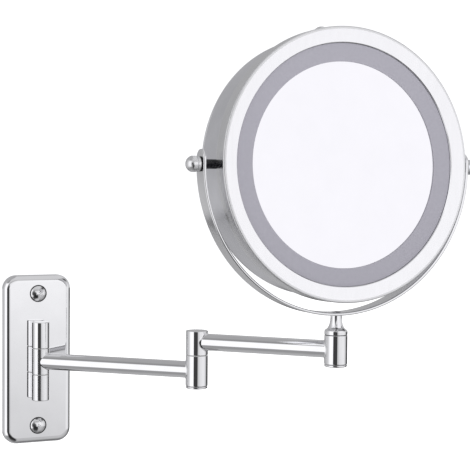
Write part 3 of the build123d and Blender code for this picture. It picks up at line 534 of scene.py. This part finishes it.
piece(coped_tube("arm_2_drawn_tube", Vector((E.x, E.y, RISE)), Vector((N.x, N.y, RISE)), 6.5, 5.3, BR, BR, f0=0.9),
      "arm_2", CHROME, ["arm_2_tube"])
piece(lathe("end_barrel_turned", rounded([(0, 11.4), (BR, 11.2, 0.6), (BR, 32.8, 0.35), (0, 32.8)]), NO, UP, seg=176),
      "arm_2", CHROME, ["end_barrel"])
piece(lathe("end_cap_turned", rounded([(0, 9.3), (8.35, 9.3, 1.0), (8.35, 11.0, 0.3), (0, 11.0)]), NO, UP, seg=176),
      "arm_2", CHROME, ["end_cap"])

# ------------------------------------------------------------------ yoke
YR, YT, YW, TAB = 110.0, 2.2, 7.0, 3.6
BOTTOM = P.z - YR


def hermite(p0, p1, t0, t1, n):
    out = []
    for k in range(n + 1):
        t = k / n
        h0, h1, h2, h3 = 2*t**3-3*t**2+1, -2*t**3+3*t**2, t**3-2*t**2+t, t**3-t**2
        out.append((p0[0]*h0+p1[0]*h1+t0[0]*h2+t1[0]*h3, p0[1]*h0+p1[1]*h1+t0[1]*h2+t1[1]*h3))
    return out


stem_prof = rounded([(0, 33.25), (4.0, 33.25), (BR - 0.2, 33.25), (BR, 33.45, 0.1), (BR, 35.6)])
for k in range(1, 9):
    a = radians(68 * k / 8)
    stem_prof.append((BR - 1.4 * (1 - cos(a)), 35.6 + 1.4 * sin(a)))
last = stem_prof[-1]
neck = hermite(last, (4.15, BOTTOM + 0.05), (-7.5, 3.4), (0, 14.0), 26)
stem_prof += neck[1:] + [(0, BOTTOM + 0.05)]
piece(lathe("swivel_stem_turned", stem_prof, NO, UP, seg=176, smooth=40), "yoke", CHROME, ["swivel_stem"])


def band():
    """Flat strip bent to a half ring, with rounded ends."""
    mid = YR - YT / 2
    half_arc = mid * pi / 2
    s_end = half_arc + TAB + YW                    # tip of the strip, along its middle line

    def place(s, w, t):
        if abs(s) <= half_arc:
            a = s / mid
            r = mid + t
            lat, up = r * sin(a), -r * cos(a)
        else:
            sg = 1 if s > 0 else -1
            lat, up = sg * (mid + t), abs(s) - half_arc
        return P + LAT * lat + UP * up + FACE0 * w

    # stations along one long edge, then the rounded end
    n_arc = 240
    stations = [half_arc * k / n_arc for k in range(-n_arc, n_arc + 1)]

    def outline(d):
        w = YW - d
        pts = []
        right_end = [(half_arc + TAB + w * sin(radians(a)), w * cos(radians(a))) for a in range(0, 91, 6)]
        left_end = [(-s, ww) for s, ww in reversed(right_end)]
        upper = left_end + [(s, w) for s in stations] + right_end
        lower = [(s, -ww) for s, ww in reversed(upper)][1:-1]
        return upper + lower, len(upper)

    h = YT / 2
    e = 0.85
    levels = [(e + 0.06, h), (e, h)]
    for a in (22, 45, 68, 90):
        levels.append((e - e * sin(radians(a)), h - e + e * cos(radians(a))))
    levels.append((0, h - e - 0.06))
    mirror = [(d, -t) for d, t in reversed(levels)]
    levels += mirror
    bm = bmesh.new()
    rings = []
    for d, t in levels:
        pts, nu = outline(d)
        rings.append([bm.verts.new(place(s, w, t) * MM) for s, w in pts])
    m = len(rings[0])
    for A, B in zip(rings[:-1], rings[1:]):
        for k in range(m):
            bm.faces.new((A[k], B[k], B[(k + 1) % m], A[(k + 1) % m]))
    for R in (rings[0], rings[-1]):
        for k in range(nu - 1):
            a, b = R[k], R[k + 1]
            c, d = R[(m - k - 1) % m], R[(m - k) % m]
            vs = []
            for v in (a, b, c, d):
                if v not in vs:
                    vs.append(v)
            if len(vs) >= 3:
                bm.faces.new(vs)
    return new_object("yoke_half_ring", bm, 45)


strip = piece(band(), "yoke", CHROME, ["yoke_band"])
strip.data.materials.append(CHROME_STRIP)
for f in strip.data.polygons:
    if abs(f.normal.dot(FACE0)) < 0.12:
        f.material_index = 1

# ------------------------------------------------------------------ head
RR, RI, RF, RB = 100.0, 88.3, 15.5, 5.1
DR = 96.5


def head_lathe(name, prof, **kw):
    return lathe(name, prof, P, FACE, seg=360, **kw)


RISE, ROUND = 2.55, 2.1
ring = piece(head_lathe("front_ring_turned", rounded([
    (DR + 0.15, RB), (RR, RB, 0.5), (RR, RF + RISE, ROUND), (RR - ROUND - 0.05, RF + RISE), (RI + 0.5, RF, 0.2), (RI, RF - 0.5, 0.2), (RI, RF - 3.3),
    (DR + 0.15, RF - 3.3)], closed=True, step=7), closed=True), "head", RING, ["front_ring"])
ring.data.materials.append(RING_SIDE)
ring.data.materials.append(RING_CORNER)
for f in ring.data.polygons:
    c = f.center / MM - P
    h = c.dot(FACE)
    r = (c - FACE * h).length
    if r > RR - 0.06 and RB + 0.5 < h < RF + RISE - ROUND + 0.35:
        f.material_index = 1
    elif r > RR - ROUND + 0.1:
        f.material_index = 2
piece(head_lathe("light_ring_moulded", rounded([
    (94.5, 10.1), (94.5, 12.1), (RI - 0.1, 12.1), (RI - 0.1, 14.3, 0.2), (75.0, 12.4, 0.25), (75.0, 11.65), (78.0, 11.65),
    (86.3, 12.55), (86.3, 10.1)], closed=True), closed=True), "head", FROST, ["diffuser_ring"])
piece(head_lathe("front_mirror_glass", rounded([(0, 11.6), (77.5, 11.6, 0.2), (77.8, 11.3), (77.8, 8.5), (0, 8.5)])),
      "head", MIRROR, ["front_mirror"])
piece(head_lathe("drum_rolled", rounded([
    (DR - 1.5, -26.6), (DR, -26.6, 0.3), (DR, 11.6), (DR - 1.5, 11.6)], closed=True), closed=True),
      "head", CHROME_DRUM, ["drum"])
piece(head_lathe("rear_bezel_turned", rounded([
    (94.4, -20.5), (92.7, -20.5), (92.7, -27.2), (88.4, -27.2), (87.0, -28.6), (87.0, -29.0, 0.15), (88.4, -29.8, 0.3),
    (DR, -29.8, 2.0), (DR, -26.95, 0.3), (94.4, -26.95)], closed=True), closed=True),
      "rear_cover", CHROME, ["rear_bezel"])


def cap_points(r, y0, y1, n=40):
    h = y1 - y0
    big = (r * r + h * h) / (2 * h)
    c = y1 - big
    amax = math.atan2(r / abs(big), (y0 - c) / big)
    return [(abs(big) * sin(amax * k / n), c + big * cos(amax * k / n)) for k in range(n + 1)]


outer = cap_points(86.8, -28.65, -25.5)
inner = cap_points(88.2, -26.3, -23.2)
piece(head_lathe("rear_mirror_glass", outer + [(88.15, -27.25), (88.2, -26.6)] + list(reversed(inner))),
      "rear_cover", MIRROR, ["rear_mirror"])

# pivots
for side, tag in ((-1, "left"), (1, "right")):
    ax = LAT * side
    pts = rounded([(0, 91.0), (2.0, 91.0), (2.0, 111.0), (5.45, 111.0, 0.25), (5.45, 112.9, 0.2), (4.95, 113.1, 0.1),
                   (4.95, 113.4, 0.1), (5.7, 113.5, 0.3), (5.7, 116.3)])
    dome = cap_points(5.7, 116.4, 120.6, 16)
    pts += list(reversed(dome))
    piece(lathe(tag + "_knob_turned", pts, P, ax, seg=128), "head", KNOB, [tag + "_pivot_knob"])
spacers = []
for side in (-1, 1):
    spacers.append(lathe("sp%d" % side, rounded([(2.05, 96.3), (3.4, 96.3), (3.4, 107.5, 0.3), (2.05, 107.5)]), P,
                         LAT * side, seg=96))
piece(merge("pivot_sleeves", spacers), "head", BLACK_GLOSS, ["pivot_spacers"])

# power button in its collar
piece(lathe("button_collar_turned", rounded([(3.4, 96.95), (6.1, 96.95), (6.1, 98.5, 0.3), (6.7, 98.5, 0.35), (6.7, 95.9)]),
            BO, BUP, seg=128), "head", CHROME, ["button_collar"])
pts = rounded([(0, 98.3), (6.0, 98.3), (6.0, 99.5)])
pts += list(reversed(cap_points(6.0, 99.6, 103.2, 16)))
piece(lathe("power_button_domed", pts, BO, BUP, seg=128), "power_button", CHROME, ["power_button"])

# ------------------------------------------------------------------ stage
CAM = Vector((-266.54, -1034.87, 148.86))


def stage_plane(name, corners, mat):
    bm = bmesh.new()
    bm.faces.new([bm.verts.new(Vector(c)) for c in corners])
    me = bpy.data.meshes.new(name)
    bm.to_mesh(me)
    bm.free()
    ob = bpy.data.objects.new(name, me)
    bpy.context.scene.collection.objects.link(ob)
    ob.data.materials.append(mat)
    return ob


fm, fnt, fb, ftc = shader("studio_floor")
fn = noise(fnt, ftc, 3, 2)
fc = ramp(fnt, fn.outputs["Fac"], [(0.3, (0.93, 0.93, 0.93, 1)), (0.7, (0.95, 0.95, 0.95, 1))])
fnt.links.new(fc.outputs[0], fb.inputs["Base Color"])
fb.inputs["Roughness"].default_value = 0.9
fb.inputs["Specular IOR Level"].default_value = 0.1
fb.inputs["Emission Color"].default_value = (1, 1, 1, 1)
fb.inputs["Emission Strength"].default_value = 0.85
floor = stage_plane("floor", [(-6, -6, -0.55), (6, -6, -0.55), (6, 6, -0.55), (-6, 6, -0.55)], fm)
floor.visible_glossy = False

# one round soft panel in front of the head; the dished face of the ring and the mirror look into it
hm_, hnt, hb, htc = shader("head_card")
hn = noise(hnt, htc, 5, 2)
hc = ramp(hnt, hn.outputs["Fac"], [(0.3, (0.002, 0.002, 0.002, 1)), (0.7, (0.004, 0.004, 0.004, 1))])
hnt.links.new(hc.outputs[0], hb.inputs["Base Color"])
hb.inputs["Roughness"].default_value = 0.9
hb.inputs["Emission Color"].default_value = (0.975, 0.970, 0.998, 1)
hb.inputs["Emission Strength"].default_value = 1.0
hb.inputs["Specular IOR Level"].default_value = 0.0
look = Vector((sin(radians(28.5)), -cos(radians(28.5)), 0.03)).normalized()
over = look.cross(UP).normalized()
rise = over.cross(look)
spot = P + look * 150
card_head = stage_plane("card_head", [(spot + over * (98 * cos(radians(a))) + rise * (98 * sin(radians(a)))) * MM
                                      for a in range(0, 360, 10)], hm_)
card_head.visible_camera = False
card_head.visible_diffuse = False
card_head.visible_transmission = False
card_head.visible_shadow = False

# ------------------------------------------------------------------ light
world = bpy.data.worlds.new("studio")
bpy.context.scene.world = world
world.use_nodes = True
wt = world.node_tree
wt.nodes.clear()
wout = wt.nodes.new("ShaderNodeOutputWorld")
bg = wt.nodes.new("ShaderNodeBackground")
wt.links.new(bg.outputs[0], wout.inputs[0])
wtc = wt.nodes.new("ShaderNodeTexCoord")
sep = wt.nodes.new("ShaderNodeSeparateXYZ")
wt.links.new(wtc.outputs["Generated"], sep.inputs[0])


def wmath(op, a, b=None, c=None, clamp=False):
    n = wt.nodes.new("ShaderNodeMath")
    n.operation = op
    n.use_clamp = clamp
    for i, x in enumerate((a, b, c)):
        if x is None:
            continue
        if isinstance(x, (int, float)):
            n.inputs[i].default_value = x
        else:
            wt.links.new(x, n.inputs[i])
    return n.outputs[0]


def step(x, a, b):
    """0 below a, 1 above b, smooth between (or falling when a > b)."""
    n = wt.nodes.new("ShaderNodeMapRange")
    n.interpolation_type = "SMOOTHSTEP"
    wt.links.new(x, n.inputs["Value"])
    if a < b:
        n.inputs["From Min"].default_value = a
        n.inputs["From Max"].default_value = b
        n.inputs["To Min"].default_value = 0
        n.inputs["To Max"].default_value = 1
    else:
        n.inputs["From Min"].default_value = b
        n.inputs["From Max"].default_value = a
        n.inputs["To Min"].default_value = 1
        n.inputs["To Max"].default_value = 0
    return n.outputs["Result"]


DEG = 180 / pi
az = wmath("MULTIPLY", wmath("ARCTAN2", sep.outputs[0], wmath("MULTIPLY", sep.outputs[1], -1)), DEG)   # 0 = -Y, + to +X
el = wmath("MULTIPLY", wmath("ARCSINE", sep.outputs[2]), DEG)


def window(x, a, b, soft):
    return wmath("MULTIPLY", step(x, a - soft, a + soft), step(x, b + soft, b - soft))


def azdiff(centre):
    """Unsigned angle from centre azimuth."""
    d = wmath("SUBTRACT", az, centre)
    w = wmath("WRAP", d, 180.0, -180.0)
    return wmath("ABSOLUTE", w)


# Soft boxes, flags and the grey room as brightness round the horizon, one row for each elevation.
BANDS = [
    (-85, [(-180, .20)]),
    (-70, [(-180, .45), (-110, .40), (-77, .26), (-29, .20), (0, .16), (15, .30), (27, .40), (45, .25), (71, .15),
           (110, .12), (150, .25), (168, .45)]),
    (-50, [(-180, .44), (-154, .31), (-110, .33), (-75, .32), (-50, .24), (-40, .05), (8, .03), (14, .40), (24, .50),
           (60, .42), (90, .28), (150, .40), (170, .45)]),
    (-37, [(-180, .44), (-154, .34), (-110, .36), (-60, .32), (-48, .25), (-40, .02), (8, .02), (14, .50), (20, .57),
           (60, .48), (90, .28), (130, .15), (160, .48)]),
    (-31, [(-180, .43), (-155, .40), (-140, .46), (-112, .60), (-98, .85), (-90, 1.08), (-56, 1.08), (-44, .40), (-40, .02),
           (8, .02), (13, .50), (20, .56), (60, .48), (90, .28), (130, .12), (160, .48)]),
    (-20, [(-180, .40), (-155, .40), (-140, .47), (-112, .62), (-98, .85), (-90, 1.08), (-54, 1.08), (-44, .30), (-38, .02),
           (-6, .02), (8, .10), (13, .50), (20, .55), (60, .52), (84, .28), (97, .08), (145, .06), (160, .40)]),
    (-14, [(-180, .16), (-172, .18), (-168, .58), (-160, .56), (-155, .41), (-140, .48), (-128, .55), (-112, .62),
           (-98, .85), (-90, 1.08), (-55, 1.08), (-53, .05), (-12, .05), (-10, .42), (0, .48), (8, .52), (16, .57),
           (24, .68), (40, .82), (56, .84), (64, .84), (72, .76), (80, .64), (88, .46), (95, .27), (101, .06), (150, .05),
           (160, .12)]),
    (-4, [(-180, .14), (-172, .15), (-168, .62), (-160, .60), (-155, .41), (-140, .48), (-128, .55), (-112, .62),
          (-98, .85), (-90, 1.08), (-55, 1.08), (-53, .05), (-12, .05), (-10, .72), (0, .75), (8, .92), (16, .98),
          (24, .90), (40, .89), (56, .88), (64, .86), (72, .78), (80, .66), (88, .48), (95, .28), (101, .06), (150, .05),
          (160, .12)]),
    (-2, [(-180, .41), (-157, .40), (-140, .48), (-112, .62), (-98, .85), (-90, 1.08), (-55, 1.08), (-53, .05), (-12, .05),
          (-10, .92), (10, .94), (16, 1.0), (22, 1.0), (33, .97), (40, .93), (56, .88), (66, .82), (76, .72), (88, .62),
          (140, .60), (156, .41)]),
    (6, [(-180, .41), (-157, .40), (-140, .48), (-112, .62), (-98, .85), (-90, 1.08), (-55, 1.08), (-53, .10), (-12, .10),
         (-10, .90), (10, .92), (16, 1.0), (22, 1.0), (33, .97), (40, .93), (56, .88), (66, .82), (76, .72), (88, .62),
         (140, .60), (156, .41)]),
    (12, [(-180, .41), (-157, .40), (-140, .47), (-112, .60), (-98, .85), (-90, 1.08), (-52, 1.08), (-50, .12), (-22, .12), (-20, .88), (10, .86),
          (16, .97), (50, .92), (60, .82), (76, .70), (90, .60), (140, .58), (156, .41)]),
    (20, [(-180, .41), (-157, .40), (-140, .47), (-112, .60), (-98, .85), (-90, 1.08), (-50, 1.08), (-48, .30), (-26, .30), (-24, .80), (10, .80),
          (16, .95), (50, .92), (60, .75), (76, .60), (90, .52), (140, .50), (156, .41)]),
    (31, [(-180, .41), (-157, .40), (-140, .45), (-112, .55), (-98, .80), (-90, 1.08), (-52, 1.08), (-40, .50), (-20, .33),
          (16, .42), (48, .50), (57, .10), (88, .06), (97, .40), (160, .41)]),
    (38, [(-180, .40), (-102, .42), (-92, .30), (-60, .30), (-54, .55), (0, .60), (15, .64), (48, .62), (56, .05),
          (88, .05), (97, .60), (150, .62), (170, .40)]),
    (52, [(-180, .40), (-102, .44), (-92, .30), (-60, .30), (-54, .62), (0, .64), (15, .65), (150, .65), (170, .40)]),
    (65, [(-180, .39), (-75, .39), (-55, .55), (0, .64), (15, .65), (150, .65), (165, .39)]),
]
turn = wmath("MULTIPLY_ADD", az, 1 / 360, 0.5)
val = None
for i, (e, stops) in enumerate(BANDS):
    wrap = stops[0][1]
    row = ramp(wt, turn, [((a + 180) / 360, grey(v)) for a, v in stops] + [(1.0, grey(wrap))])
    if val is None:
        val = row.outputs[0]
    else:
        t = wt.nodes.new("ShaderNodeMapRange")
        t.inputs["From Min"].default_value = BANDS[i - 1][0]
        t.inputs["From Max"].default_value = e
        wt.links.new(el, t.inputs["Value"])
        d = wmath("SUBTRACT", row.outputs[0], val)
        val = wmath("MULTIPLY_ADD", t.outputs["Result"], d, val)


def mix_to(val, mask, target, amount=1.0):
    """val moves to target where mask is 1."""
    m = wmath("MULTIPLY", mask, amount)
    d = wmath("SUBTRACT", target, val)
    return wmath("MULTIPLY_ADD", m, d, val)


lp = wt.nodes.new("ShaderNodeLightPath")
val = mix_to(val, lp.outputs["Is Camera Ray"], 1.1)
comb = wt.nodes.new("ShaderNodeCombineColor")
wt.links.new(val, comb.inputs[0])
wt.links.new(val, comb.inputs[1])
wt.links.new(wmath("MULTIPLY", val, 1.02), comb.inputs[2])
wt.links.new(comb.outputs[0], bg.inputs["Color"])
bg.inputs["Strength"].default_value = 1.0

key = bpy.data.lights.new("softbox", "AREA")
key.energy = 6
key.size = 1.2
key_o = bpy.data.objects.new("softbox", key)
key_o.location = (-0.6, -1.6, 1.6)
key_o.rotation_euler = (Vector((0.1, -0.1, 0.1)) - key_o.location).to_track_quat("-Z", "Y").to_euler()
bpy.context.scene.collection.objects.link(key_o)
key_o.visible_glossy = False

# ------------------------------------------------------------------ camera
YAW, PITCH, ROLL = radians(23.138), radians(2.562), radians(0.474)
fwd = Vector((sin(YAW) * cos(PITCH), cos(YAW) * cos(PITCH), -sin(PITCH)))
right = Vector((cos(YAW), -sin(YAW), 0))
up = right.cross(fwd)
r2 = right * cos(ROLL) + up * sin(ROLL)
u2 = -right * sin(ROLL) + up * cos(ROLL)
cam = bpy.data.cameras.new("camera")
cam.lens = 100
cam.sensor_width = 36
cam.clip_start = 0.01
cam_o = bpy.data.objects.new("camera", cam)
m = Matrix((r2, u2, -fwd)).transposed().to_4x4()
m.translation = CAM * MM
cam_o.matrix_world = m
bpy.context.scene.collection.objects.link(cam_o)
bpy.context.scene.camera = cam_o
bpy.context.scene.view_settings.view_transform = "Standard"
bpy.context.scene.view_settings.look = "None"
